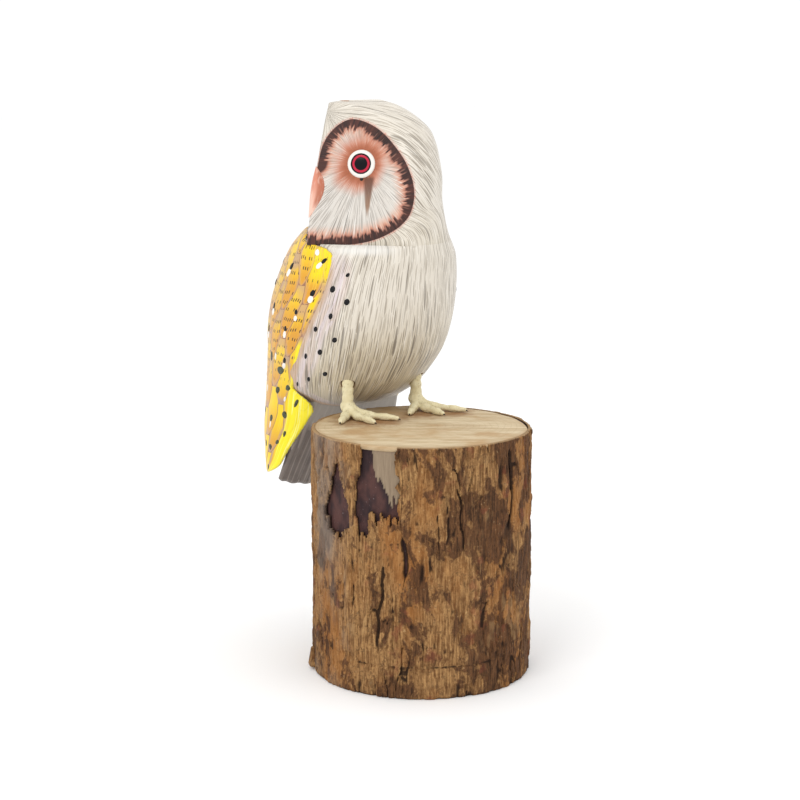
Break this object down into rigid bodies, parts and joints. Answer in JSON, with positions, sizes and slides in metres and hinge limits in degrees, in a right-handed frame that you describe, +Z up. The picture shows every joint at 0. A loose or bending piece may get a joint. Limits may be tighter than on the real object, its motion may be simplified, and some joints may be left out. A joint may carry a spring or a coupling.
{
  "type": "owl figurine",
  "caption": "Painted carved wooden owl with its head turned to one side, standing on wire and putty legs on a short upright log with its bark on.",
  "frame": {"origin": "centre of the log's sawn underside, which stands on the table", "axes": "+Z up, the owl's body faces -Y, its turned head faces -X, +X is the owl's left"},
  "size_m": [0.1051, 0.1678, 0.266],
  "materials": {
    "log_wood": "sanded bare end grain",
    "inner_bark": "rough dark fibre",
    "bark": "rough weathered bark",
    "white_paint": "painted carved wood, satin varnish",
    "wing_paint": "painted carved wood, satin varnish",
    "tail_paint": "painted carved wood, satin varnish",
    "beak_paint": "painted carved wood, satin varnish",
    "eye_paint": "gloss enamel on turned wood",
    "foot_putty": "hand-modelled hard putty, painted cream",
    "claw_wire": "blackened wire tip",
    "dowel_wood": "plain turned beech",
    "leg_wire": "plain drawn wire"
  },
  "bodies": {
    "root": {"log_core": "log_wood", "inner_bark": "inner_bark", "bark_plate_left": "bark", "bark_plate_front": "bark", "bark_plate_right": "bark", "bark_plate_back_right": "bark", "bark_plate_back": "bark", "bark_flake": "bark", "owl_body": "white_paint", "owl_head": "white_paint", "right_wing": "wing_paint", "left_wing": "wing_paint", "tail": "tail_paint", "beak": "beak_paint", "right_eye": "eye_paint", "left_eye": "eye_paint", "neck_dowel": "dowel_wood", "right_foot": "foot_putty", "left_foot": "foot_putty", "right_leg_rod": "leg_wire", "left_leg_rod": "leg_wire", "right_inner_claw": "claw_wire", "right_middle_claw": "claw_wire", "right_outer_claw": "claw_wire", "left_inner_claw": "claw_wire", "left_middle_claw": "claw_wire", "left_outer_claw": "claw_wire"}
  },
  "joints": []
}
